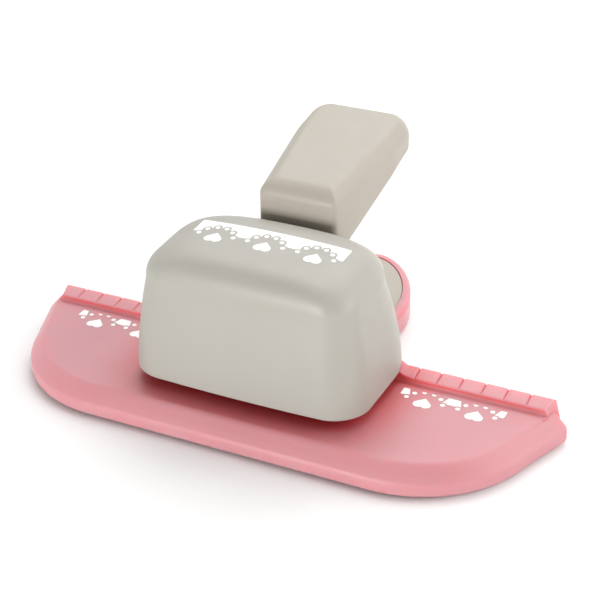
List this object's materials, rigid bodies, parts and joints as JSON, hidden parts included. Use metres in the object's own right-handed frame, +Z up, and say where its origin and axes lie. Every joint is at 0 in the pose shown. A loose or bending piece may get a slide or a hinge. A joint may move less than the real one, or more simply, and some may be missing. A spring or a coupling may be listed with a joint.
{
  "type": "border punch",
  "caption": "Lever-operated paper border punch: long ruled base with a rear fence, domed punch head over a steel die, and a broad lever rising behind it.",
  "frame": {"origin": "middle of the outline on the table, under the base", "axes": "+X along the ruler to the user's right, +Y from the paper's side back towards the tail and the lever, +Z up"},
  "size_m": [0.1618, 0.108, 0.0648],
  "materials": {
    "pink_plastic": "satin moulded plastic",
    "cream_plastic": "satin moulded plastic, warm cream",
    "shell_plastic": "satin moulded plastic, cool off-white",
    "plain_steel": "ground flat",
    "tool_steel": "hardened and ground",
    "bright_steel": "polished",
    "zinc_screw": "zinc plated",
    "spring_steel": "drawn wire",
    "bronze": "turned bush",
    "rubber": "matte"
  },
  "bodies": {
    "base": {"base_tray": "pink_plastic", "tail_inset": "cream_plastic", "bottom_cover": "shell_plastic", "base_screws": "zinc_screw", "rubber_feet": "rubber", "die_plate": "tool_steel", "paper_stop": "plain_steel", "guide_plate": "plain_steel", "die_screws": "zinc_screw", "guide_posts": "bright_steel", "return_springs": "spring_steel", "pivot_bracket": "plain_steel", "bracket_screws": "zinc_screw", "pivot_pin": "bright_steel", "pivot_clips": "spring_steel", "housing": "shell_plastic", "housing_screws": "zinc_screw"},
    "punch": {"punch_holder": "plain_steel", "heart_punches": "tool_steel", "dot_punches": "tool_steel", "scallop_blade": "tool_steel", "retainer_plate": "plain_steel", "retainer_screws": "zinc_screw", "wear_pad": "tool_steel", "post_bushes": "bronze"},
    "lever": {"lever_shell": "cream_plastic", "lever_underside": "cream_plastic", "arm_left": "plain_steel", "arm_right": "plain_steel", "lever_pins": "bright_steel", "pivot_bushes": "bronze", "roller_pin": "bright_steel"},
    "roller": {"press_roller": "tool_steel"}
  },
  "joints": [
    {"name": "lever_hinge", "type": "hinge", "parent": "base", "child": "lever", "pos_m": [0, -0.03655, 0.0326], "axis": [-1, 0, 0], "range_deg": [0, 19], "stiffness_Nm_per_rad": 0.6, "springref_deg": -20.05},
    {"name": "punch_slide", "type": "slide", "parent": "base", "child": "punch", "axis": [0, 0, -1], "range_m": [0, 0.0052], "deforming": ["return_springs"]},
    {"name": "roller_spin", "type": "hinge", "parent": "lever", "child": "roller", "pos_m": [0, -0.02155, 0.0351], "axis": [1, 0, 0], "continuous": true}
  ],
  "couplings": [
    {"joint": "punch_slide", "follows": "lever_hinge", "m_per_rad": 0.01514}
  ]
}
